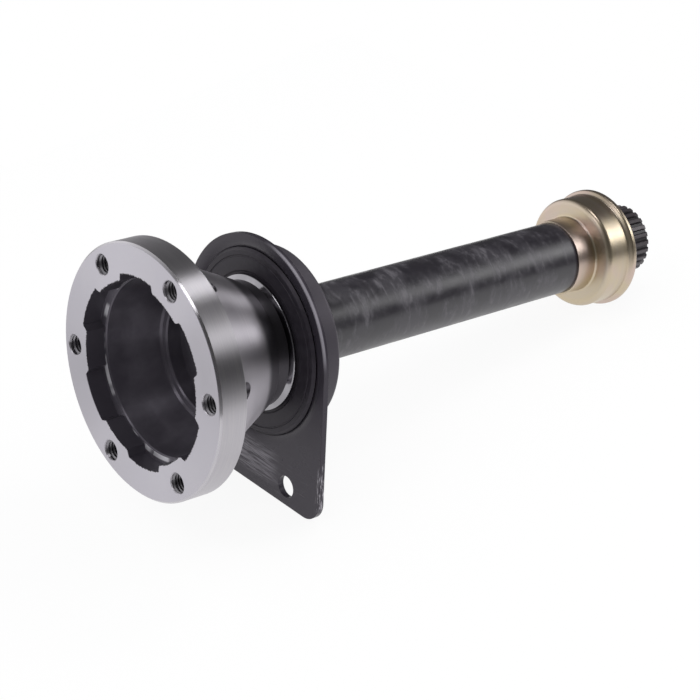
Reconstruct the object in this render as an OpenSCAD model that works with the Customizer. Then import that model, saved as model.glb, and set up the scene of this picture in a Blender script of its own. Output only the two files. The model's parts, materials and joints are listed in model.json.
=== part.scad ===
// Flanged intermediate drive shaft with a support bearing in a pressed bracket.
// Millimetres. The shaft axis is X, the flange's mating face is the plane x = 0,
// and the bracket's foot points down along -Z.

/* [Drive flange] */
// Outside diameter of the flange
flange_d = 100; // [96:0.5:110]
// Thickness of the flange disc
flange_t = 12; // [9:0.5:14]
// Chamfer on the flange's front edge
flange_chamfer = 0.9; // [0.3:0.1:2]
// Chamfer on the flange's rear edge
flange_rear_chamfer = 0.4; // [0.2:0.1:1]

/* [Flange bolts] */
// Distance from the bolt circle to the flange's edge
flange_rim = 7; // [6:0.1:8]
// Number of tapped holes
bolt_count = 6; // [3:1:8]
// Angle of the first hole from the top
bolt_angle = 22; // [0:1:60]
// Diameter of the tapped holes at the root of the thread
tap_d = 8; // [6:0.1:8.2]
// Width of the countersink at each tapped hole
tap_sink = 0.4; // [0.2:0.1:0.8]

/* [Cup] */
// Distance from the bolt circle to the cup's mouth
mouth_wall = 8; // [7:0.1:9]
// Reach of the pockets beyond the mouth
pocket_reach = 2.6; // [2:0.1:3]
// Depth of the pockets
pocket_depth = 8; // [4:0.5:10]
// Angle that one pocket spans at the land diameter
pocket_deg = 35; // [20:1:40]
// Angle over which a pocket's side ramps out
pocket_ramp_deg = 3; // [1:0.5:6]
// Diameter of the cup's wall where it meets the step
cup_step_d = 55; // [52:0.5:58]
// Width of the step between the wall and the bore
cup_step_w = 3.5; // [2.5:0.1:5]
// Distance of the step from the mating face
cup_step_x = 29.6; // [26:0.2:32]
// Depth of the cup from the mating face
cup_depth = 41.5; // [38:0.5:43]
// Radius that blends the two slopes of the cup's wall
cup_blend_r = 22; // [12:1:26]

/* [Hub] */
// Distance from the flange's edge to the foot of the cone
cone_step = 5; // [4:0.1:8]
// Diameter of the cone where its slope changes
hub_mid_d = 69; // [66:0.5:72]
// Distance from the mating face to the change of slope
hub_mid_x = 29; // [26:0.5:32]
// Radius that blends the cone's two slopes
hub_blend_r = 60; // [30:1:80]
// Distance from the mating face to the cone's small end
hub_end_x = 45; // [44:0.5:46]
// Radius of the rounded edge at the cone's small end
hub_edge_r = 1.2; // [0.5:0.1:1.6]
// Diameter of the neck that carries the slinger
neck_d = 50.2; // [48:0.1:52]
// Length of the neck from the cone to the slinger's rear face
neck_l = 7.5; // [6.5:0.1:8.5]
// Height of the cone's small end above the neck
neck_step = 1.9; // [1.4:0.1:2.4]

/* [Bearing] */
// Bore of the bearing
bearing_bore = 45; // [43:0.5:47]
// Outside diameter of the bearing
bearing_od = 68; // [66:0.5:70]
// Width of the bearing
bearing_w = 12; // [11:0.5:13]
// Distance from the bracket's front face to the bearing's front face
bearing_inset = 1.1; // [0.9:0.1:1.4]
// Diameter of a ball
ball_d = 6.747; // [6:0.001:7.5]
// Number of balls
ball_count = 12; // [10:1:16]
// Radial height of each ring beyond the ball circle
ring_shoulder = 2.4; // [2:0.1:2.6]
// Width of the cage along a radius
cage_w = 3.2; // [2.4:0.1:3.6]
// Thickness of the cage's sheet
cage_t = 0.6; // [0.5:0.05:0.7]
// Diameter of the cage's rivets
rivet_d = 1.4; // [1:0.1:1.6]
// Thickness of the bearing's side seals
side_seal_t = 0.8; // [0.6:0.1:1]

/* [Bracket] */
// Thickness of the bracket's sheet
sheet_t = 2.4; // [2:0.1:3]
// Width of the flat rim round the bend
plate_rim = 1.9; // [1.2:0.1:3]
// Radius of the bend into the bearing collar, on its front side
bend_r = 7; // [4:0.2:7.2]
// Length of the collar beyond the bearing's rear face
collar_over = 0.6; // [0.2:0.1:1]
// Radius of the rounded edge at the collar's rear
collar_edge_r = 1.5; // [1:0.1:2]
// Height of the shaft axis above the bracket's lower edge
axis_height = 59.3; // [56:0.5:66]
// Radius of the bracket's lower corners
foot_r = 8.5; // [6:0.5:10]
// Distance between the centres of the lower corners' arcs
foot_spacing = 75; // [68:1:80]
// Distance between the two bolt holes
foot_hole_spacing = 52; // [46:1:58]
// Height of the bolt holes above the bracket's lower edge
foot_hole_rise = 7.8; // [7:0.1:9]
// Diameter of the bolt holes
foot_hole_d = 9; // [7:0.1:10]

/* [Seal and slinger] */
// Diameter of the ground land under the seal lip
seal_land_d = 48.4; // [46:0.2:49]
// Gap between the slinger and the dust seal's front
slinger_gap = 0.5; // [0.3:0.05:0.8]
// Height of the dust seal's outer face above its recessed middle
seal_face_step = 0.3; // [0.2:0.05:0.4]
// Wall of the dust seal's skirt round the bearing
dust_skirt_t = 0.8; // [0.4:0.1:1]
// Length of the dust seal's skirt over the bearing
dust_skirt_l = 1.5; // [0.8:0.1:1.8]
// Width of the slinger along a radius
slinger_w = 1.9; // [1.4:0.1:2.4]
// Length of the slinger at its bore
slinger_l = 1.6; // [1.2:0.1:2]
// Length of the slinger at its outer edge
slinger_edge_l = 0.5; // [0.4:0.05:0.8]

/* [Shaft] */
// Diameter of the bar
shaft_d = 30.8; // [30:0.1:33]
// Length of the cone from the journal's end to the weld between hub and bar
weld_cone_l = 6.6; // [5:0.1:9]
// Overall length of the drive shaft
overall_l = 262; // [250:1:320]
// Thickness of the circlip
circlip_t = 1.75; // [1.5:0.05:1.9]
// Height of the circlip above the journal
circlip_h = 2.6; // [2:0.1:3]

/* [Spline] */
// Number of spline teeth
spline_teeth = 26; // [20:1:30]
// Outside diameter of the spline
spline_d = 29.8; // [28:0.1:29.9]
// Depth of a spline groove
spline_depth = 1.2; // [0.8:0.1:1.5]
// Length of the splined end
spline_l = 23; // [21:0.5:26]
// Length of the lead-in chamfer
spline_chamfer = 0.6; // [0.4:0.1:1.6]

/* [Dust cap] */
// Distance from the spline's end to the cap's small mouth
cap_back = 45.5; // [43:0.5:50]
// Thickness of the cap's sheet
cap_t = 0.8; // [0.6:0.1:1.1]
// Length of the collar that grips the bar
cap_collar_l = 10.3; // [8:0.1:12]
// Outside diameter of the cap's drum
cap_drum_d = 47.3; // [45:0.1:49]
// Length of the drum
cap_drum_l = 10.8; // [9:0.1:12]
// Height of the open end beyond the drum
cap_flare_h = 1.7; // [1.2:0.1:2.4]
// Length from the drum's end to the open end
cap_lip_l = 3.7; // [3.2:0.1:4.5]
// Length over which the drum widens to the open end
cap_flare_l = 1.3; // [1:0.1:1.6]
// Radius of the cap's outer bend between face and drum
cap_bend_r = 2.4; // [1.2:0.1:2.8]

/* [Fits] */
// Radial gap of a pressed fit
press_gap = 0.02; // [0.01:0.005:0.03]
// Radial gap between a ball and its track
ball_gap = 0.03; // [0.02:0.005:0.05]
// Gap between a seal lip and the surface that runs under it
lip_gap = 0.3; // [0.2:0.05:0.4]

/* [Hidden] */
$fn = 96;

eps = 0.01;
flange_r = flange_d / 2;
bolt_r = flange_r - flange_rim;
mouth_r = bolt_r - mouth_wall;
pocket_r = mouth_r + pocket_reach;
neck_r = neck_d / 2;
land_r = seal_land_d / 2;
slinger_x = hub_end_x + neck_l;
slinger_r = neck_r + press_gap + slinger_w;
dust_seal_x = slinger_x + slinger_gap;
bracket_x = dust_seal_x + seal_face_step;
bearing_x = bracket_x + bearing_inset;
bearing_mid_x = bearing_x + bearing_w / 2;
bearing_end_x = bearing_x + bearing_w;
pitch_r = (bearing_bore + bearing_od) / 4;
ball_r = ball_d / 2;
inner_ring_r = pitch_r - ring_shoulder;
outer_ring_r = pitch_r + ring_shoulder;
seal_seat_r = outer_ring_r + 1.2;
side_seal_inset = 0.4;
seal_recess = side_seal_inset + side_seal_t + press_gap;
ring_chamfer = 0.6;
journal_r = bearing_bore / 2 - press_gap;
circlip_x = bearing_end_x + press_gap;
circlip_groove_r = journal_r - 1.25;
journal_end_x = circlip_x + circlip_t + 2.2;
weld_x = journal_end_x + weld_cone_l;
collar_r = bearing_od / 2 + press_gap;
collar_x = bearing_end_x + collar_over;
bend_centre = [collar_r + bend_r, bracket_x + bend_r];
shaft_r = shaft_d / 2;
spline_r = spline_d / 2;
cap_x = overall_l - cap_back;
cap_face_x = cap_x + cap_collar_l;
cap_drum_x = cap_face_x + cap_t + 0.9;
cap_end_x = cap_drum_x + cap_drum_l + cap_lip_l;
cap_drum_r = cap_drum_d / 2;
cap_lip_r = cap_drum_r + cap_flare_h;

STEEL = "#a9a9ad";
FORGED = "#4a4a4e";
BLACK_PAINT = "#232226";
RUBBER = "#1a1a1b";
ZINC_GOLD = "#c9b896";

// Turns a profile drawn as [radius, distance along the shaft] about the shaft axis
module turned() {
    rotate([0, 90, 0]) rotate_extrude() children();
}

// Extrudes an outline drawn as [Y, Z] along the shaft axis, from x for a length of l
module along_x(x, l) {
    translate([x, 0, 0]) rotate([90, 0, 90]) linear_extrude(l) children();
}

// Places a child, drawn at [x, 0, radius], round the shaft axis; the angle runs from +Z towards -Y
module around(deg) {
    rotate([deg, 0, 0]) children();
}

// A round hole or pin along the shaft axis at [x, radius]
module axial_rod(x, l, radius, r) {
    translate([x, 0, radius]) rotate([0, 90, 0]) cylinder(h = l, r = r);
}

function unit(v) = v / norm(v);

// The web between two edges that leave a corner p along a and b, cut back by a circle of radius r.
// Added, it fills an inside corner; taken away, it rounds an outside one.
module corner_web(p, a, b, r) {
    ua = unit(a);
    ub = unit(b);
    half = acos(ua * ub) / 2;
    reach = r / tan(half);
    centre = p + unit(ua + ub) * r / sin(half);
    difference() {
        polygon([p - unit(ua + ub) * 0.2, p + ua * reach, centre, p + ub * reach]);
        translate(centre) circle(r = r);
    }
}

// Outside of the flange, the cone, the neck, the seal land and the bearing journal
module hub_outline() {
    cone_foot = [flange_r - cone_step, flange_t];
    cone_mid = [hub_mid_d / 2, hub_mid_x];
    cone_end = [neck_r + neck_step, hub_end_x];
    difference() {
        union() {
            polygon([[0, 0], [flange_r - flange_chamfer, 0], [flange_r, flange_chamfer],
                [flange_r, flange_t - flange_rear_chamfer], [flange_r - flange_rear_chamfer, flange_t],
                cone_foot, cone_mid, cone_end, [0, hub_end_x]]);
            polygon([[0, hub_end_x - 1], [neck_r, hub_end_x - 1], [neck_r, slinger_x],
                [land_r, slinger_x], [land_r, bearing_x], [journal_r, bearing_x],
                [journal_r, circlip_x], [circlip_groove_r, circlip_x],
                [circlip_groove_r, circlip_x + circlip_t + 0.1], [journal_r, circlip_x + circlip_t + 0.1],
                [journal_r, journal_end_x - 0.8], [journal_r - 0.8, journal_end_x],
                [shaft_r + 1, weld_x - 1.2], [shaft_r + 1, weld_x], [0, weld_x]]);
            corner_web(cone_mid, cone_foot - cone_mid, cone_end - cone_mid, hub_blend_r);
        }
        corner_web(cone_end, cone_mid - cone_end, [-1, 0], hub_edge_r);
    }
}

// Hollow of the cup: mouth, curved wall, step and bore
module cup_hollow() {
    step_r = cup_step_d / 2;
    bore_r = step_r - cup_step_w;
    wall_foot = [mouth_r - 0.5, pocket_depth + 1.2];
    wall_mid = [mouth_r - 2.2, pocket_depth + 9];
    difference() {
        polygon([[0, -1], [mouth_r, -1], [mouth_r, pocket_depth + 0.7], wall_foot, wall_mid,
            [step_r, cup_step_x - 0.8], [step_r - 0.8, cup_step_x], [bore_r + 0.6, cup_step_x],
            [bore_r, cup_step_x + 0.6], [bore_r - 0.8, cup_depth - 1.2], [0, cup_depth]]);
        corner_web([bore_r - 0.8, cup_depth - 1.2], [0.8, -(cup_depth - cup_step_x)], [-bore_r, 1.2], 5);
        corner_web(wall_mid, wall_foot - wall_mid, [step_r, cup_step_x - 0.8] - wall_mid, cup_blend_r);
    }
}

// Outline of one pocket, centred on the top, between two lands
module pocket_outline() {
    inner = pocket_deg / 2;
    outer = inner - pocket_ramp_deg;
    foot = mouth_r * [sin(inner), cos(inner)];
    ramp = pocket_r * [sin(outer), cos(outer)] - foot;
    low = foot - ramp;
    high = foot + 2 * ramp;
    intersection() {
        circle(r = pocket_r);
        polygon([[0, 0], [-low[0], low[1]], [-high[0], high[1]], high, low]);
    }
}

// Solid that cuts one pocket, with a sloping shoulder at its bottom
module pocket_cut() {
    intersection() {
        along_x(-1, pocket_depth + 3) pocket_outline();
        turned() polygon([[0, -2], [pocket_r + 1, -2], [pocket_r + 1, pocket_depth - 0.4],
            [mouth_r - 0.6, pocket_depth + 0.7], [0, pocket_depth + 0.7]]);
    }
}

// Hole tapped through the flange, with its countersink
module tapped_hole() {
    axial_rod(-1, hub_mid_x, bolt_r, tap_d / 2);
    translate([-eps, 0, bolt_r]) rotate([0, 90, 0])
        cylinder(h = tap_sink, r1 = tap_d / 2 + tap_sink, r2 = tap_d / 2);
}

module drive_flange() {
    color(STEEL) difference() {
        turned() difference() {
            hub_outline();
            cup_hollow();
        }
        for (i = [0 : bolt_count - 1]) {
            around(bolt_angle + i * 360 / bolt_count) tapped_hole();
            around(bolt_angle + (i + 0.5) * 360 / bolt_count) pocket_cut();
        }
    }
}

// Groove of one spline tooth space, drawn in the YZ plane at the top
module spline_groove() {
    pitch = 360 / spline_teeth;
    root_r = spline_r - spline_depth;
    root_half = root_r * sin(pitch * 0.17);
    tip_half = (spline_r + 0.3) * sin(pitch * 0.33);
    polygon([[-root_half, root_r], [root_half, root_r], [tip_half, spline_r + 0.3], [-tip_half, spline_r + 0.3]]);
}

module splined_end() {
    x = overall_l - spline_l;
    intersection() {
        along_x(x, spline_l) difference() {
            circle(r = spline_r);
            for (i = [0 : spline_teeth - 1]) rotate(i * 360 / spline_teeth) spline_groove();
        }
        turned() polygon([[0, x], [spline_r - spline_chamfer / 2, x], [spline_r + 1, x + spline_chamfer * 1.5],
            [spline_r + 1, overall_l - spline_chamfer - 1], [spline_r, overall_l - spline_chamfer],
            [spline_r - spline_chamfer, overall_l], [0, overall_l]]);
    }
}

module shaft_bar() {
    relief_r = spline_r - spline_depth - 0.4;
    spline_x = overall_l - spline_l;
    centre_drill_r = 3.2;
    color(BLACK_PAINT) difference() {
        union() {
            turned() union() {
                polygon([[0, weld_x], [shaft_r, weld_x], [shaft_r, spline_x - 5.4], [shaft_r - 0.8, spline_x - 4.6],
                    [relief_r, spline_x - 2.6], [relief_r, spline_x + 0.3], [0, spline_x + 0.3]]);
                for (bead = [0.9, 2.5]) translate([shaft_r, weld_x + bead]) circle(r = 0.9);
            }
            splined_end();
        }
        translate([overall_l + eps, 0, 0]) rotate([0, -90, 0]) {
            cylinder(h = centre_drill_r * 1.6, r1 = centre_drill_r, r2 = 0.4);
            cylinder(h = 8, r = 1.25);
        }
    }
}

module spline_dust_cap() {
    bore_r = shaft_r + press_gap;
    collar_out_r = bore_r + cap_t;
    drum_in_r = cap_drum_r - cap_t;
    lip_in_r = cap_lip_r - cap_t;
    flare_x = cap_drum_x + cap_drum_l;
    flare_end_x = flare_x + cap_flare_l;
    outer_face = [collar_out_r, cap_face_x];
    outer_corner = [cap_drum_r, cap_face_x + 0.7];
    inner_face = [bore_r, cap_face_x + cap_t];
    inner_corner = [drum_in_r, cap_face_x + cap_t + 0.7];
    inner_bend_r = cap_bend_r - cap_t;
    inner_bend = inner_corner + inner_bend_r * [-1, 0.91];
    flare_foot = [cap_drum_r, flare_x];
    flare_top = [cap_lip_r, flare_end_x];
    color(ZINC_GOLD) turned() difference() {
        union() {
            polygon([[bore_r, cap_x], [collar_out_r, cap_x], outer_face, outer_corner, flare_foot, flare_top,
                [cap_lip_r, cap_end_x - 0.6], [cap_lip_r - 0.7, cap_end_x], [lip_in_r - 0.4, cap_end_x],
                [lip_in_r - 0.4, cap_end_x - 0.5], [lip_in_r, cap_end_x - 1.2],
                [lip_in_r, flare_end_x + 0.3], [drum_in_r, flare_x + 0.3],
                for (a = [0 : 21 : 84]) inner_bend + inner_bend_r * [cos(a), -sin(a)], inner_face]);
            corner_web(outer_face, [0, -1], outer_corner - outer_face, 0.9);
            corner_web(flare_foot, [0, -1], flare_top - flare_foot, 1.2);
        }
        corner_web(outer_corner, outer_face - outer_corner, [0, 1], cap_bend_r);
        corner_web(flare_top, flare_foot - flare_top, [0, 1], 1.2);
        corner_web([cap_lip_r, cap_end_x - 0.6], [0, -1], [-0.7, 0.6], 0.8);
    }
}

// Ring pressed on the neck in front of the seal; its front face leans outwards
module slinger_ring() {
    bore_r = neck_r + press_gap;
    front_corner = [slinger_r, slinger_x - slinger_edge_l];
    inner_front = [bore_r, slinger_x - slinger_l];
    color(STEEL) turned() difference() {
        polygon([inner_front, front_corner, [slinger_r, slinger_x], [bore_r, slinger_x]]);
        corner_web(front_corner, inner_front - front_corner, [0, 1], 0.5);
    }
}

// Dish that fills the mouth of the bracket's bend, with a lip on the land and a skirt on the bearing
module front_dust_seal() {
    bearing_r = bearing_od / 2;
    skirt_r = bearing_r + press_gap + dust_skirt_t;
    bead_r = slinger_r + 1.4;
    face_x = dust_seal_x + seal_face_step;
    back_x = bearing_x - lip_gap;
    rim_deg = 31;
    rim = bend_centre - (bend_r + lip_gap) * [sin(rim_deg), cos(rim_deg)];
    color(RUBBER) turned() difference() {
        polygon([[land_r + lip_gap, face_x + 0.2], [bead_r - 0.6, face_x], [bead_r, dust_seal_x],
            [rim[0] - 1.1, dust_seal_x], rim, rim + [-0.3, 0.2],
            [skirt_r, bearing_x + dust_skirt_l], [bearing_r + press_gap, bearing_x + dust_skirt_l],
            [bearing_r + press_gap, bearing_x - press_gap], [outer_ring_r, bearing_x - press_gap],
            [outer_ring_r, back_x], [land_r + lip_gap, back_x]]);
        translate([bearing_r, dust_seal_x - 0.1]) circle(r = 0.4);
    }
}

// Outline of the bracket: a round top whose sides run down to a wide foot
module bracket_outline() {
    top_r = bend_centre[0] + plate_rim;
    corner = [foot_spacing / 2, foot_r - axis_height];
    side = atan2(corner[1], corner[0]) + acos((top_r - foot_r) / norm(corner));
    normal = [cos(side), sin(side)];
    mirrored = [-cos(side), sin(side)];
    low_left = [-corner[0], corner[1]];
    inset = 2 * eps;
    circle(r = top_r);
    translate(corner) circle(r = foot_r);
    translate(low_left) circle(r = foot_r);
    polygon([(top_r - inset) * normal, corner + (foot_r - inset) * normal, [corner[0], -axis_height],
        [low_left[0], -axis_height], low_left + (foot_r - inset) * mirrored, (top_r - inset) * mirrored]);
}

// Section of the bend and the collar that holds the bearing
module collar_section() {
    flat_end = bend_centre[0] + 0.6;
    outer_r = collar_r + sheet_t;
    translate([bend_centre[0] - eps, bracket_x]) square([flat_end - bend_centre[0] + eps, sheet_t]);
    intersection() {
        difference() {
            translate(bend_centre) circle(r = bend_r);
            translate(bend_centre) circle(r = bend_r - sheet_t);
        }
        translate([collar_r - 1, bracket_x - 1]) square([bend_r + 1, bend_r + 1]);
    }
    difference() {
        translate([collar_r, bend_centre[1] - eps]) square([sheet_t, collar_x - bend_centre[1] + eps]);
        corner_web([outer_r, collar_x], [0, -1], [-1, 0], collar_edge_r);
    }
}

module bearing_bracket() {
    color(BLACK_PAINT) difference() {
        union() {
            along_x(bracket_x, sheet_t) difference() {
                bracket_outline();
                circle(r = bend_centre[0] + 0.3);
            }
            turned() collar_section();
        }
        for (side = [-1, 1]) translate([0, side * foot_hole_spacing / 2, 0])
            axial_rod(bracket_x - 1, sheet_t + 2, foot_hole_rise - axis_height, foot_hole_d / 2);
    }
}

module bearing_outer_ring() {
    r = bearing_od / 2;
    color(STEEL) turned() difference() {
        polygon([[seal_seat_r, bearing_x], [r - ring_chamfer, bearing_x], [r, bearing_x + ring_chamfer],
            [r, bearing_end_x - ring_chamfer], [r - ring_chamfer, bearing_end_x], [seal_seat_r, bearing_end_x],
            [seal_seat_r, bearing_end_x - seal_recess], [outer_ring_r, bearing_end_x - seal_recess],
            [outer_ring_r, bearing_x + seal_recess], [seal_seat_r, bearing_x + seal_recess]]);
        translate([pitch_r, bearing_mid_x]) circle(r = ball_r + ball_gap);
    }
}

module bearing_inner_ring() {
    r = bearing_bore / 2;
    color(STEEL) turned() difference() {
        polygon([[r + ring_chamfer, bearing_x], [inner_ring_r, bearing_x], [inner_ring_r, bearing_end_x],
            [r + ring_chamfer, bearing_end_x], [r, bearing_end_x - ring_chamfer], [r, bearing_x + ring_chamfer]]);
        translate([pitch_r, bearing_mid_x]) circle(r = ball_r + ball_gap);
    }
}

// One side seal of the bearing, snapped into the outer ring; x is its front face
module side_seal(x) {
    color(RUBBER) turned() difference() {
        polygon([[inner_ring_r + lip_gap, x + 0.3], [inner_ring_r + 1.2, x], [seal_seat_r - press_gap, x],
            [seal_seat_r - press_gap, x + side_seal_t], [inner_ring_r + 1.2, x + side_seal_t],
            [inner_ring_r + lip_gap, x + side_seal_t - 0.3]]);
        for (face_x = [x, x + side_seal_t]) translate([outer_ring_r - 1.6, face_x]) circle(r = 0.35);
    }
}

module bearing_seal_front() {
    side_seal(bearing_x + side_seal_inset);
}

module bearing_seal_rear() {
    side_seal(bearing_end_x - side_seal_inset - side_seal_t);
}

// Open ring that grips the journal's groove, with two lugs for pliers at the top
module shaft_circlip() {
    lug_deg = 17;
    lug_r = 2.6;
    plier_hole_r = 1.1;
    inner_r = circlip_groove_r + press_gap;
    outer_r = journal_r + circlip_h;
    lug_at = inner_r + 0.85 * lug_r;
    color(FORGED) along_x(circlip_x + press_gap, circlip_t) difference() {
        union() {
            difference() {
                circle(r = outer_r);
                polygon([[0, 0], outer_r * 1.5 * [-sin(lug_deg), cos(lug_deg)],
                    outer_r * 1.5 * [sin(lug_deg), cos(lug_deg)]]);
            }
            for (side = [-1, 1]) rotate(side * lug_deg) translate([0, lug_at]) circle(r = lug_r);
        }
        circle(r = inner_r);
        for (side = [-1, 1]) rotate(side * lug_deg) translate([0, lug_at]) circle(r = plier_hole_r);
    }
}

module ball(i) {
    color(STEEL) around((i - 1) * 360 / ball_count) translate([bearing_mid_x, 0, pitch_r]) sphere(r = ball_r);
}

// One pressed half of the cage; side is -1 for the front half and 1 for the rear half
module cage_half(side) {
    pocket_r = ball_r + 2 * ball_gap;
    reach = pocket_r + cage_t;
    step = 360 / ball_count;
    web_x = side < 0 ? bearing_mid_x - cage_t : bearing_mid_x;
    band_x = side < 0 ? bearing_mid_x - reach - 1 : bearing_mid_x;
    color(STEEL) difference() {
        intersection() {
            union() {
                turned() translate([pitch_r - cage_w, web_x]) square([2 * cage_w, cage_t]);
                for (i = [0 : ball_count - 1]) around(i * step)
                    translate([bearing_mid_x, 0, pitch_r]) sphere(r = reach);
            }
            turned() translate([pitch_r - cage_w / 2, band_x]) square([cage_w, reach + 1]);
        }
        for (i = [0 : ball_count - 1]) {
            around(i * step) translate([bearing_mid_x, 0, pitch_r]) sphere(r = pocket_r);
            around((i + 0.5) * step) axial_rod(web_x - 1, cage_t + 2, pitch_r, rivet_d / 2 + press_gap);
        }
    }
}

module cage_front() {
    cage_half(-1);
}

module cage_rear() {
    cage_half(1);
}

module cage_rivets() {
    head_t = 0.5;
    head_r = rivet_d / 2 + 0.45;
    color(STEEL) for (i = [0 : ball_count - 1]) around((i + 0.5) * 360 / ball_count) {
        axial_rod(bearing_mid_x - cage_t - head_t, 2 * (cage_t + head_t), pitch_r, rivet_d / 2);
        axial_rod(bearing_mid_x - cage_t - head_t, head_t - press_gap, pitch_r, head_r);
        axial_rod(bearing_mid_x + cage_t + press_gap, head_t - press_gap, pitch_r, head_r);
    }
}

bearing_bracket();
bearing_outer_ring();
bearing_seal_front();
bearing_seal_rear();
front_dust_seal();
drive_flange();
shaft_bar();
spline_dust_cap();
slinger_ring();
bearing_inner_ring();
shaft_circlip();
cage_front();
cage_rear();
cage_rivets();
for (i = [1 : ball_count]) ball(i);
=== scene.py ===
"""Looks of a flanged drive shaft with its support bearing, on a pale studio floor."""
import json
import math

import bpy
from mathutils import Matrix, Vector


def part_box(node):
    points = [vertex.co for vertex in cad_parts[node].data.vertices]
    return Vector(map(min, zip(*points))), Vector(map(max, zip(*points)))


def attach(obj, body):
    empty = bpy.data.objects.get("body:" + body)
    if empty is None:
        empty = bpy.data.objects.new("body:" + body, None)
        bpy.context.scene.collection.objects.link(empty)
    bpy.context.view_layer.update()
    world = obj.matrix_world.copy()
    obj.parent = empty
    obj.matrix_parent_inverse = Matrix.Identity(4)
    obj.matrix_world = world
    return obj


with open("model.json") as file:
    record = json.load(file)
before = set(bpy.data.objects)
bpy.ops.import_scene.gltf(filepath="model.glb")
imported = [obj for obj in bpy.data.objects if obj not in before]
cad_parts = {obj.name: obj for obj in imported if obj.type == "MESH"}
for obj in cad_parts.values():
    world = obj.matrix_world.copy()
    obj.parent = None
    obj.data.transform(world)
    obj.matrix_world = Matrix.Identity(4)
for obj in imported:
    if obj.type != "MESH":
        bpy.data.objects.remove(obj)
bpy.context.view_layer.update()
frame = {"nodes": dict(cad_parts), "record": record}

MM = 0.001

# Drive flange, in metres: X runs along the shaft from the flange's face, and R is the distance from its axis
FLANGE_R = 50 * MM
RIM_R = FLANGE_R - 0.95 * MM
FACE_DEPTH = 0.12 * MM
CHAMFER_X = (0.8 * MM, 1.0 * MM)
BOLT_CIRCLE_R = 43 * MM
BOLT_COUNT = 6
BOLT_SECTOR = math.tau / BOLT_COUNT
BOLT_ANGLE = math.radians(22)
MOUTH_R = 35 * MM
POCKET_R = 37.6 * MM
POCKET_SIDE = (math.radians(14.5), math.radians(17.5))
POCKET_FLOOR_X = 8.2 * MM
LIP_WIDTH = 0.35 * MM
CUP_END_X = 42.2 * MM
TAPPED_BACK_X = (9 * MM, 9.5 * MM)
# Where a painted shadow of the bracket's plate darkens the hub's end
HUB_SHADOW_X = (36 * MM, 40 * MM)
LAND_X = (52.5 * MM, 69.5 * MM)

# Points inside the flange's wall that part the cup from the hub, as (X, R)
CUP_WALL = [(9 * MM, 38.4 * MM), (29.6 * MM, 30.5 * MM), (42 * MM, 25.5 * MM)]

# Bracket: its sheet and collar, where its paint is worn, and where a highlight and a sheen are painted on
# it. SIDE is the distance from its middle plane
BRACKET_X = 53.3 * MM
SHEET_T = 2.4 * MM
COLLAR_X = 57 * MM
PLATE_R = 42.92 * MM
FOOT_WEAR_Z = (-52 * MM, -34 * MM)
FAN_Z = (-52 * MM, -43 * MM)
FAN_SIDE = (12 * MM, 23 * MM)
EDGE_Z = (-51 * MM, -36 * MM)
EDGE_SIDE = (43.2 * MM, 44.8 * MM)
CREST_R = (PLATE_R - 0.6 * MM, PLATE_R - 0.3 * MM)
CREST_Z = (2 * MM, 10 * MM)
CREST_ANGLES = (math.radians(20), math.radians(70))

# Spline at the end of the bar
SPLINE_X = 234 * MM
SPLINE_TIP_R = 14.2 * MM

# Threads of the tapped holes
THREAD_PITCH = 1.25 * MM
THREAD_MAJOR_R = 4 * MM
THREAD_MINOR_R = 3.38 * MM
THREAD_START_X = 0.75 * MM
THREAD_END_X = 11.6 * MM
THREAD_STEPS = 44
THREAD_FOOT = 0.47 * THREAD_PITCH
THREAD_TIP = 0.1 * THREAD_PITCH
THREAD_ROOT_R = THREAD_MAJOR_R + 0.03 * MM
THREAD_BACK_R = THREAD_MAJOR_R + 0.12 * MM
RING_POINTS = 6

# The floor, which glows by a share so that it looks white and keeps the shadow
FLOOR_HALF = 0.3
FLOOR_GAP = 0.15 * MM
CAP_LIP_INSET = 0.6 * MM
FLOOR_COLOR = (0.9, 0.9, 0.9, 1)
FLOOR_GLOW = 1.015
GLOW_SHARE = 0.9

# The room that metal mirrors: where its pale wall is, and grey levels by height, from 0 below to 1 above
WALL_DIRECTION = (-0.6, 0.8, 0)
WALL_SPREAD = (0.5, 0.85)
WALL_TONES = [(0.0, 0.9), (0.2, 0.9), (0.3, 1.15), (0.65, 1.15), (0.8, 0.7), (1.0, 0.4)]
ROOM_TONES = [
    (0.0, 1.0), (0.1, 1.1), (0.2, 1.15), (0.26, 0.95), (0.31, 0.5),
    (0.36, 0.28), (0.42, 0.17), (0.49, 0.1), (1.0, 0.08),
]
MATT_LIGHT = (0.75, 0.75, 0.76, 1)
WHITE = (1, 1, 1, 1)

# The camera of the photograph
CAMERA_PLACE = Vector((-0.42101, -0.57644, 0.35948))
CAMERA_RIGHT = Vector((0.76285, -0.64135, 0.08200))
CAMERA_UP = Vector((0.22371, 0.38080, 0.89717))
CAMERA_LENS = 110.47
SENSOR_WIDTH = 36

# The faint violet of light that the black paint and rubber reflect
BLACK_TINT = (0.96, 0.88, 1, 1)


def srgb(red, green, blue):
    """Scene colour of a colour given as it shows on screen, 0 to 255."""
    def linear(c):
        c = c / 255
        return c / 12.92 if c <= 0.04045 else ((c + 0.055) / 1.055) ** 2.4
    return (linear(red), linear(green), linear(blue), 1)


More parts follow.
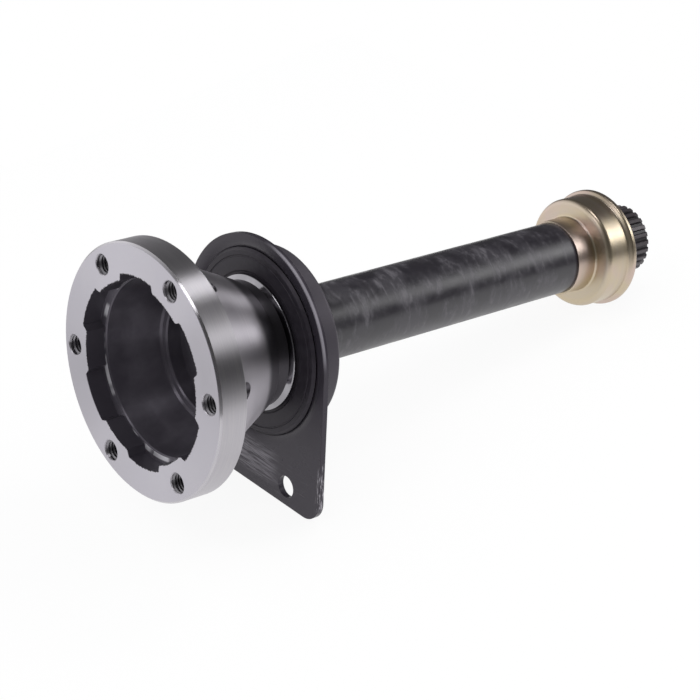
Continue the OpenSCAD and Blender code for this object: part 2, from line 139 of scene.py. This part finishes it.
class Tree:
    """The nodes of a material or a world. Inputs are sockets, numbers, vectors or colours."""

    def __init__(self, owner):
        owner.use_nodes = True
        self.tree = owner.node_tree
        self.tree.nodes.clear()

    def node(self, kind, *inputs, **settings):
        made = self.tree.nodes.new(kind)
        for key, value in settings.items():
            setattr(made, key, value)
        for socket, value in zip(made.inputs, inputs):
            self.feed(socket, value)
        return made

    def feed(self, socket, value):
        if isinstance(value, bpy.types.NodeSocket):
            self.tree.links.new(value, socket)
        elif value is not None:
            socket.default_value = value

    def math(self, operation, *inputs, clamp=False):
        return self.node("ShaderNodeMath", *inputs, operation=operation, use_clamp=clamp).outputs[0]

    def add(self, a, b):
        return self.math("ADD", a, b)

    def sub(self, a, b):
        return self.math("SUBTRACT", a, b)

    def mul(self, a, b):
        return self.math("MULTIPLY", a, b)

    def invert(self, a):
        return self.math("SUBTRACT", 1, a, clamp=True)

    def line(self, value, low, high, to_low=0.0, to_high=1.0):
        """Runs straight from to_low to to_high as value goes from low to high."""
        return self.node("ShaderNodeMapRange", value, low, high, to_low, to_high).outputs[0]

    def step(self, value, low, high, to_low=0.0, to_high=1.0):
        """Runs smoothly from to_low to to_high as value goes from low to high."""
        inputs = (value, low, high, to_low, to_high)
        return self.node("ShaderNodeMapRange", *inputs, interpolation_type="SMOOTHSTEP").outputs[0]

    def band(self, value, low, high, blur):
        """1 where value lies between low and high, 0 outside, blurred at both ends."""
        return self.mul(self.step(value, low - blur, low), self.step(value, high, high + blur, 1, 0))

    def mix(self, factor, a, b):
        """A colour between a and b."""
        made = self.node("ShaderNodeMix", data_type="RGBA")
        self.feed(made.inputs[0], factor)
        self.feed(made.inputs[6], a)
        self.feed(made.inputs[7], b)
        return made.outputs[2]

    def blend(self, factor, a, b):
        """A number between a and b."""
        made = self.node("ShaderNodeMix", data_type="FLOAT")
        self.feed(made.inputs[0], factor)
        self.feed(made.inputs[2], a)
        self.feed(made.inputs[3], b)
        return made.outputs[0]

    def tones(self, value, stops):
        """Grey levels given as (position, level), read at a value."""
        ramp = self.node("ShaderNodeValToRGB", value)
        elements = ramp.color_ramp.elements
        while len(elements) < len(stops):
            elements.new(0.5)
        for element, (position, level) in zip(elements, stops):
            element.position = position
            element.color = (level, level, level, 1)
        return ramp.outputs[0]


class Shade(Tree):
    """A material of the part, which knows where on the shaft each place lies."""

    def __init__(self, name):
        self.material = bpy.data.materials.new(name)
        super().__init__(self.material)
        self.bsdf = self.node("ShaderNodeBsdfPrincipled")
        self.node("ShaderNodeOutputMaterial", self.bsdf.outputs[0])
        self.place = self.node("ShaderNodeTexCoord").outputs["Object"]
        self.x, self.y, self.z = self.node("ShaderNodeSeparateXYZ", self.place).outputs
        self.r = self.math("SQRT", self.add(self.mul(self.y, self.y), self.mul(self.z, self.z)))
        self.angle = self.math("ARCTAN2", self.mul(self.y, -1), self.z)

    def vector(self, x, y, z):
        return self.node("ShaderNodeCombineXYZ", x, y, z).outputs[0]

    def along(self, x_scale, round_scale):
        """A vector for streaks: x_scale features per metre of shaft, round_scale per turn."""
        turn = self.mul(self.angle, round_scale / math.tau)
        across = self.mul(self.r, x_scale)
        return self.vector(self.mul(self.x, x_scale), turn, across)

    def noise(self, vector, scale, detail, roughness=0.55, distortion=0.0):
        made = self.node("ShaderNodeTexNoise", vector)
        made.inputs["Scale"].default_value = scale
        made.inputs["Detail"].default_value = detail
        made.inputs["Roughness"].default_value = roughness
        made.inputs["Distortion"].default_value = distortion
        return made.outputs["Fac"]

    def paint(self, color, layers):
        """Lays colours over a colour, each as far as its mask says."""
        for mask, over in layers:
            color = self.mix(mask, color, over)
        return color

    def bump(self, height, distance, strength, base=None):
        made = self.node("ShaderNodeBump")
        made.inputs["Strength"].default_value = strength
        made.inputs["Distance"].default_value = distance
        self.feed(made.inputs["Height"], height)
        self.feed(made.inputs["Normal"], base)
        return made.outputs[0]

    def soft_edges(self, radius):
        """Normals that look rounded at edges."""
        return self.node("ShaderNodeBevel", radius, samples=6).outputs[0]

    def turned_lay(self, amount):
        """Stretches highlights across the marks that turning leaves round the shaft's axis."""
        lay = self.node("ShaderNodeTangent", direction_type="RADIAL", axis="X")
        self.feed(self.bsdf.inputs["Tangent"], lay.outputs[0])
        self.bsdf.inputs["Anisotropic"].default_value = amount
        self.bsdf.inputs["Anisotropic Rotation"].default_value = 0.25

    def finish(self, **inputs):
        """Feeds the shader's sockets. A keyword's underscores stand for spaces."""
        for key, value in inputs.items():
            self.feed(self.bsdf.inputs[key.replace("_", " ")], value)
        return self.material


def flange_zones(s):
    """How far each place belongs to the ground face, the turned rim and the inside of the cup."""
    face = s.step(s.x, FACE_DEPTH, 2 * FACE_DEPTH, 1, 0)
    rim = s.mul(s.step(s.r, RIM_R - 0.1 * MM, RIM_R), s.invert(face))
    (front_x, front_r), (middle_x, middle_r), (back_x, back_r) = CUP_WALL
    wall_r = s.add(s.line(s.x, front_x, middle_x, front_r, middle_r),
                   s.line(s.x, middle_x, back_x, 0, back_r - middle_r))
    cup = s.step(s.r, s.sub(wall_r, 0.1 * MM), wall_r, 1, 0)
    cup = s.mul(cup, s.step(s.x, CUP_END_X, CUP_END_X + 0.3 * MM, 1, 0))
    return face, rim, s.mul(cup, s.invert(face))


def angle_from_pocket(s):
    """Angle from the middle of the nearest pocket, midway between two tapped holes.

    It comes out too large where turned is negative, over 82 degrees of the flange's far lower side.
    One pocket there and the end of another have no dark edge, and one tapped hole's end is half drawn.
    """
    turned = s.add(s.angle, 2 * BOLT_SECTOR - BOLT_ANGLE)
    return s.math("ABSOLUTE", s.sub(s.math("MODULO", turned, BOLT_SECTOR), BOLT_SECTOR / 2))


def ragged_edge(s, from_pocket):
    """The burr where the forged pockets meet the ground face."""
    edge_r = s.step(from_pocket, *POCKET_SIDE, POCKET_R, MOUTH_R)
    ragged = s.noise(s.vector(s.mul(s.angle, 60), s.mul(s.r, 300), 0), 1, 4, 0.7)
    reach = s.line(ragged, 0.35, 0.75, -0.1 * MM, 0.75 * MM)
    return s.step(s.sub(s.r, s.add(edge_r, reach)), 0, 0.12 * MM, 1, 0)


def lip_highlight(s):
    """A painted highlight, in patches, along the narrow edge where the pockets' floors drop into the cup."""
    lit_patches = s.noise(s.vector(s.mul(s.angle, 2.2), 3, 0), 1, 2)
    edge = s.band(s.x, POCKET_FLOOR_X, POCKET_FLOOR_X + LIP_WIDTH, 0.12 * MM)
    return s.mul(edge, s.step(lit_patches, 0.47, 0.56))


def tapped_end_shade(s, from_pocket):
    """Painted shade inside the ends of the tapped holes on the flange's back, found by the law of cosines
    from each hole's axis.
    """
    from_hole = s.math("COSINE", s.sub(BOLT_SECTOR / 2, from_pocket))
    square = s.add(s.mul(s.r, s.r), BOLT_CIRCLE_R ** 2)
    from_axis = s.math("SQRT", s.sub(square, s.mul(s.mul(s.r, 2 * BOLT_CIRCLE_R), from_hole)))
    bore = s.step(from_axis, THREAD_MAJOR_R + 0.05 * MM, THREAD_MAJOR_R + 0.4 * MM, 1, 0)
    return s.mul(bore, s.step(s.x, *TAPPED_BACK_X))


def flange_steel():
    """Ground face, turned rim, satin hub with a painted shadow over its end, dark cup with a painted
    highlight on its lip, bearing seat, and painted shade in the tapped holes' ends, told apart by place.
    """
    s = Shade("forged_steel")
    face, rim, cup = flange_zones(s)
    from_pocket = angle_from_pocket(s)
    rings = s.noise(s.along(9000, 3), 1, 2)
    scratches = s.noise(s.along(2500, 14), 1, 3, 0.7)
    blotches = s.noise(s.place, 60, 4, 0.6)
    grain = s.noise(s.place, 2600, 2)

    face_color = s.mix(s.step(blotches, 0.3, 0.75), srgb(186, 183, 191), srgb(192, 189, 196))
    face_color = s.mix(ragged_edge(s, from_pocket), face_color, srgb(44, 42, 47))
    rim_color = s.mix(s.step(scratches, 0.35, 0.7), srgb(187, 184, 190), srgb(196, 193, 197))
    hub_scuffs = s.mul(s.step(scratches, 0.45, 0.75), s.step(blotches, 0.35, 0.7))
    hub_color = s.mix(hub_scuffs, srgb(194, 190, 197), srgb(208, 204, 210))
    # Painted shadow of the bracket's plate over the hub's end
    hub_color = s.mix(s.step(s.x, *HUB_SHADOW_X), hub_color, srgb(108, 105, 111))
    cup_color = s.mix(s.step(blotches, 0.3, 0.8), srgb(82, 78, 87), srgb(104, 100, 109))
    below_pockets = s.step(s.x, POCKET_FLOOR_X - 0.6 * MM, POCKET_FLOOR_X + 0.2 * MM)
    cup_color = s.mix(below_pockets, srgb(82, 78, 87), cup_color)
    color = s.paint(hub_color, [
        (rim, rim_color),
        (face, face_color),
        (cup, cup_color),
        # Painted highlight along the lip where the pockets drop into the cup
        (s.mul(cup, lip_highlight(s)), srgb(204, 202, 208)),
        (s.band(s.x, *LAND_X, 0.3 * MM), srgb(185, 184, 186)),
        # Painted shade inside the ends of the tapped holes
        (tapped_end_shade(s, from_pocket), srgb(104, 101, 107)),
    ])

    chamfer = s.mul(rim, s.step(s.x, *CHAMFER_X, 1, 0))
    rough = s.blend(rim, s.line(blotches, 0.3, 0.7, 0.42, 0.5), s.line(scratches, 0.3, 0.7, 0.37, 0.43))
    rough = s.blend(chamfer, rough, 0.2)
    rough = s.blend(face, rough, s.line(blotches, 0.3, 0.7, 0.32, 0.4))
    rough = s.blend(cup, rough, s.line(blotches, 0.35, 0.65, 0.28, 0.38))
    height = s.add(s.mul(rings, s.blend(cup, 0.12, 0.1)), s.mul(grain, s.blend(cup, 0.1, 0.5)))
    normal = s.bump(height, 0.02 * MM, 0.3, s.soft_edges(0.25 * MM))
    s.turned_lay(0.9)
    return s.finish(Base_Color=color, Metallic=s.blend(cup, 1, 0.55), Roughness=rough, Normal=normal)


def bar_paint():
    """Black bar with scuffs and fine turning marks, and a phosphated spline."""
    s = Shade("bar_paint")
    spline = s.step(s.x, SPLINE_X, SPLINE_X + 1 * MM)
    marks = s.noise(s.along(2200, 5), 1, 3, 0.6)
    streaks = s.noise(s.along(320, 10), 1, 4, 0.65, 0.4)
    clouds = s.noise(s.place, 70, 4, 0.6)
    scuff = s.mul(s.step(streaks, 0.45, 0.72), s.step(clouds, 0.38, 0.62))
    paint = s.mix(s.step(clouds, 0.4, 0.62), srgb(37, 34, 41), srgb(54, 51, 58))
    tips = s.step(s.r, SPLINE_TIP_R, SPLINE_TIP_R + 0.4 * MM)
    phosphate = s.mix(tips, srgb(46, 42, 46), srgb(70, 64, 68))
    color = s.paint(paint, [(scuff, srgb(92, 89, 95)), (spline, phosphate)])
    rough = s.blend(scuff, s.line(clouds, 0.35, 0.65, 0.28, 0.42), 0.5)
    rough = s.blend(spline, rough, 0.44)
    height = s.add(s.mul(marks, 0.6), s.mul(streaks, 0.6))
    return s.finish(Base_Color=color, Metallic=s.mul(spline, 0.3), Roughness=rough,
                    Normal=s.bump(height, 0.04 * MM, 0.4), IOR=1.65)


def bracket_paint():
    """Semi-gloss black paint over pressed sheet, brushed low on the foot and worn at its side edges, with a
    painted highlight on its crest and a painted sheen on its collar.
    """
    s = Shade("bracket_paint")
    side = s.math("ABSOLUTE", s.y)
    front = s.step(s.x, BRACKET_X + 0.4 * SHEET_T, BRACKET_X + 0.6 * SHEET_T, 1, 0)
    collar = s.step(s.x, COLLAR_X, COLLAR_X + 1 * MM)
    scratches = s.noise(s.vector(s.mul(s.y, 90), s.mul(s.z, 1500), s.mul(s.x, 200)), 1, 3, 0.7)
    dashes = s.noise(s.vector(s.mul(s.z, 170), s.mul(s.y, 1500), s.mul(s.x, 1500)), 1, 4, 0.7)
    clouds = s.noise(s.place, 45, 3)

    # Faint scratches low on the foot, and a fan of brighter ones in the middle of its front
    low = s.step(s.z, *FOOT_WEAR_Z, 1, 0)
    wear = s.mul(s.step(scratches, 0.55, 0.72), s.mul(low, s.step(clouds, 0.42, 0.6)))
    fan = s.mul(s.step(side, *FAN_SIDE, 1, 0), s.band(s.z, *FAN_Z, 4 * MM))
    brushed = s.mul(s.mul(fan, front), s.step(scratches, 0.36, 0.66))

    # Dashes worn along the foot's side edges, and a painted highlight along the crest high on the near side
    # of the plate
    edge = s.mul(s.step(side, *EDGE_SIDE), s.band(s.z, *EDGE_Z, 5 * MM))
    edge = s.mul(edge, s.step(dashes, 0.5, 0.64))
    crest_highlight = s.mul(s.step(s.r, *CREST_R), s.step(s.z, *CREST_Z))
    crest_highlight = s.mul(s.mul(crest_highlight, front), s.band(s.angle, *CREST_ANGLES, math.radians(20)))

    # The collar's paint is lighter than the plate's as a painted sheen, and the crest's colour is a painted
    # highlight
    color = s.paint(s.mix(collar, srgb(50, 47, 54), srgb(68, 65, 71)), [
        (wear, srgb(104, 101, 106)),
        (brushed, srgb(146, 143, 149)),
        (edge, srgb(176, 173, 179)),
        (crest_highlight, srgb(128, 125, 132)),
    ])
    rough = s.blend(s.math("MAXIMUM", wear, brushed), s.line(clouds, 0.3, 0.7, 0.23, 0.32), 0.4)
    rough = s.blend(collar, rough, 0.42)
    orange_peel = s.noise(s.place, 900, 2)
    return s.finish(Base_Color=color, Roughness=rough, IOR=1.4, Specular_Tint=BLACK_TINT,
                    Normal=s.bump(orange_peel, 0.01 * MM, 0.3, s.soft_edges(0.35 * MM)))


def yellow_zinc():
    """Yellow-passivated zinc: beige metal with pink and straw tints."""
    s = Shade("yellow_zinc")
    tint = s.noise(s.place, 45, 3, 0.5, 0.6)
    fine = s.noise(s.along(500, 5), 1, 3, 0.6)
    warm = s.mix(s.step(tint, 0.38, 0.62), srgb(202, 182, 172), srgb(200, 186, 161))
    color = s.mix(s.mul(s.step(fine, 0.4, 0.7), 0.4), warm, srgb(196, 186, 176))
    return s.finish(Base_Color=color, Metallic=1, Roughness=s.line(fine, 0.3, 0.7, 0.3, 0.38),
                    Normal=s.bump(s.noise(s.place, 1200, 2), 0.01 * MM, 0.25, s.soft_edges(0.25 * MM)))


def plain_steel(name, color, roughness):
    """Bare steel in one colour that is a fifth darker in blotches, with fine turning marks."""
    s = Shade(name)
    streaks = s.noise(s.along(4000, 3), 1, 2)
    clouds = s.noise(s.place, 120, 3)
    dark = tuple(c * 0.8 for c in color[:3]) + (1,)
    return s.finish(Base_Color=s.mix(s.step(clouds, 0.3, 0.7), color, dark), Metallic=1,
                    Roughness=s.line(clouds, 0.3, 0.7, roughness * 0.85, roughness * 1.2),
                    Normal=s.bump(streaks, 0.01 * MM, 0.3))


def seal_rubber():
    """Black rubber with a fine grain."""
    s = Shade("seal_rubber")
    clouds = s.noise(s.place, 300, 3)
    color = s.mix(s.step(clouds, 0.3, 0.7), srgb(43, 40, 46), srgb(51, 48, 54))
    return s.finish(Base_Color=color, Roughness=s.line(clouds, 0.3, 0.7, 0.34, 0.44),
                    IOR=1.33, Specular_Tint=BLACK_TINT,
                    Normal=s.bump(s.noise(s.place, 3000, 2), 0.01 * MM, 0.3))


MATERIALS = {
    "forged_steel": flange_steel(),
    "bar_paint": bar_paint(),
    "bracket_paint": bracket_paint(),
    "yellow_zinc": yellow_zinc(),
    "bare_steel": plain_steel("bare_steel", srgb(205, 203, 204), 0.2),
    "bearing_steel": plain_steel("bearing_steel", srgb(200, 200, 204), 0.16),
    "spring_steel": plain_steel("spring_steel", srgb(74, 72, 76), 0.35),
    "seal_rubber": seal_rubber(),
}

# Pieces that look unlike the rest of their slot
OWN_LOOKS = {"slinger_ring": plain_steel("slinger_steel", srgb(158, 156, 161), 0.07)}


def dress_nodes():
    """Gives each CAD node the material of its slot, or its own."""
    for entry in frame["record"]["subparts"]:
        node = frame["nodes"][entry["node"]]
        node.data.materials.clear()
        node.data.materials.append(OWN_LOOKS.get(entry["node"], MATERIALS[entry["material_slot"]]))


def thread_ring(turn, centre_x, end_share):
    """Cross-section of a thread's ridge at an angle round its hole, as points for a hole on the axis."""
    crest_highlight = THREAD_MAJOR_R - (THREAD_MAJOR_R - THREAD_MINOR_R) * end_share
    section = [
        (-THREAD_FOOT, THREAD_ROOT_R), (-THREAD_TIP, crest_highlight), (THREAD_TIP, crest_highlight),
        (THREAD_FOOT, THREAD_ROOT_R), (THREAD_FOOT, THREAD_BACK_R), (-THREAD_FOOT, THREAD_BACK_R),
    ]
    return [(centre_x + x, r * math.cos(turn), r * math.sin(turn)) for x, r in section]


def thread_mesh():
    """The helical ridges of all tapped holes, as one mesh. Each fades out over half a turn at both ends."""
    vertices, faces = [], []
    turns = (THREAD_END_X - THREAD_START_X) / THREAD_PITCH
    count = int(turns * THREAD_STEPS)
    for hole in range(BOLT_COUNT):
        around = Matrix.Rotation(BOLT_ANGLE + hole * BOLT_SECTOR, 4, "X")
        for i in range(count + 1):
            turn = i * math.tau / THREAD_STEPS
            centre_x = THREAD_START_X + THREAD_PITCH * turn / math.tau
            end_share = min(1, i / THREAD_STEPS * 2, (count - i) / THREAD_STEPS * 2)
            base = len(vertices)
            for x, y, z in thread_ring(turn, centre_x, end_share):
                vertices.append(around @ Vector((x, y, z + BOLT_CIRCLE_R)))
            if i:
                last = base - RING_POINTS
                for k in range(RING_POINTS):
                    n = (k + 1) % RING_POINTS
                    faces.append((last + k, last + n, base + n, base + k))
            else:
                faces.append(tuple(base + k for k in range(RING_POINTS)))
        faces.append(tuple(len(vertices) - 1 - k for k in range(RING_POINTS)))
    mesh = bpy.data.meshes.new("flange_threads")
    mesh.from_pydata([tuple(v) for v in vertices], [], faces)
    mesh.validate()
    return mesh


def add_threads():
    mesh = thread_mesh()
    mesh.materials.append(plain_steel("thread_steel", srgb(140, 138, 143), 0.3))
    threads = bpy.data.objects.new("flange_threads", mesh)
    bpy.context.scene.collection.objects.link(threads)
    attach(threads, "shaft")


def floor_material():
    """White to the camera and in metal, with a share of true shading so that the shadow stays."""
    material = bpy.data.materials.new("pale_floor")
    t = Tree(material)
    matte = t.node("ShaderNodeBsdfDiffuse", FLOOR_COLOR)
    glow = t.node("ShaderNodeEmission", None, FLOOR_GLOW)
    path = t.node("ShaderNodeLightPath").outputs
    seen = t.math("MAXIMUM", path["Is Camera Ray"], path["Is Glossy Ray"])
    seen = t.math("MAXIMUM", seen, path["Is Transmission Ray"])
    mixed = t.node("ShaderNodeMixShader", t.mul(seen, GLOW_SHARE), matte.outputs[0], glow.outputs[0])
    t.node("ShaderNodeOutputMaterial", mixed.outputs[0])
    return material


def add_floor():
    """A pale floor under the bracket's foot and the cap's lip, the two places the part stands on."""
    mounts = {m["name"]: m for m in frame["record"]["mounts"]}
    foot = Vector((mounts["bracket_bolts"]["pos_m"][0], 0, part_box("bearing_bracket")[0].z))
    cap_low, cap_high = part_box("spline_dust_cap")
    lip = Vector((cap_high.x - CAP_LIP_INSET, 0, cap_low.z))
    tilt = math.atan2(lip.z - foot.z, lip.x - foot.x)
    corners = [(-1, -1), (1, -1), (1, 1), (-1, 1)]
    mesh = bpy.data.meshes.new("floor")
    mesh.from_pydata([(x * FLOOR_HALF, y * FLOOR_HALF, 0) for x, y in corners], [], [(0, 1, 2, 3)])
    mesh.materials.append(floor_material())
    floor = bpy.data.objects.new("floor", mesh)
    floor.location = foot - Vector((0, 0, FLOOR_GAP))
    floor.rotation_euler = (0, -tilt, 0)
    bpy.context.scene.collection.objects.link(floor)


def add_world():
    """White to the camera and even to matt surfaces. Metal mirrors a room, white below and dark above."""
    world = bpy.data.worlds.new("studio")
    bpy.context.scene.world = world
    t = Tree(world)
    direction = t.node("ShaderNodeTexCoord").outputs["Generated"]
    height = t.line(t.node("ShaderNodeSeparateXYZ", direction).outputs["Z"], -1, 1)
    toward_wall = t.node("ShaderNodeVectorMath", direction, WALL_DIRECTION, operation="DOT_PRODUCT")
    wall = t.step(toward_wall.outputs["Value"], *WALL_SPREAD)
    room = t.mix(wall, t.tones(height, ROOM_TONES), t.tones(height, WALL_TONES))
    path = t.node("ShaderNodeLightPath").outputs
    room = t.mix(path["Is Diffuse Ray"], room, MATT_LIGHT)
    room = t.mix(path["Is Camera Ray"], room, WHITE)
    back = t.node("ShaderNodeBackground", room)
    t.node("ShaderNodeOutputWorld", back.outputs[0])


def add_softbox(name, aim, direction, distance, width, height, radiance, shape="RECTANGLE"):
    """An area light of even brightness that looks at aim from a direction."""
    light = bpy.data.lights.new(name, "AREA")
    light.shape = shape
    light.size, light.size_y = width, height
    area = width * height * (math.pi / 4 if shape == "DISK" else 1)
    light.energy = radiance * math.pi * area
    softbox = bpy.data.objects.new(name, light)
    toward = Vector(direction).normalized()
    softbox.location = Vector(aim) + toward * distance
    softbox.rotation_euler = toward.to_track_quat("Z", "Y").to_euler()
    softbox.visible_camera = False
    bpy.context.scene.collection.objects.link(softbox)


def add_lights():
    add_softbox("key_softbox", aim=(0.12, 0, 0), direction=(0.75, -0.42, 0.51), distance=1.65,
                width=1.1, height=0.62, radiance=1.9)
    add_softbox("rear_softbox", aim=(0.03, 0, 0), direction=(0.85, -0.37, 0.37), distance=1.6,
                width=0.42, height=0.42, radiance=5.2, shape="DISK")
    add_softbox("top_softbox", aim=(0.006, 0, 0.045), direction=(0.5, -0.06, 0.87), distance=0.35,
                width=0.12, height=0.11, radiance=5.0)
    add_softbox("front_softbox", aim=(0, 0, 0.04), direction=(-0.71, 0, 0.71), distance=1.0,
                width=0.36, height=0.36, radiance=3.4)


def add_camera():
    data = bpy.data.cameras.new("camera")
    data.lens = CAMERA_LENS
    data.sensor_width = SENSOR_WIDTH
    data.clip_start, data.clip_end = 0.01, 100
    camera = bpy.data.objects.new("camera", data)
    bpy.context.scene.collection.objects.link(camera)
    back = CAMERA_RIGHT.cross(CAMERA_UP)
    turn = Matrix((CAMERA_RIGHT, CAMERA_UP, back)).transposed()
    camera.matrix_world = Matrix.Translation(CAMERA_PLACE) @ turn.to_4x4()
    bpy.context.scene.camera = camera


dress_nodes()
add_threads()
add_floor()
add_world()
add_lights()
add_camera()
bpy.context.scene.view_settings.view_transform = "Standard"
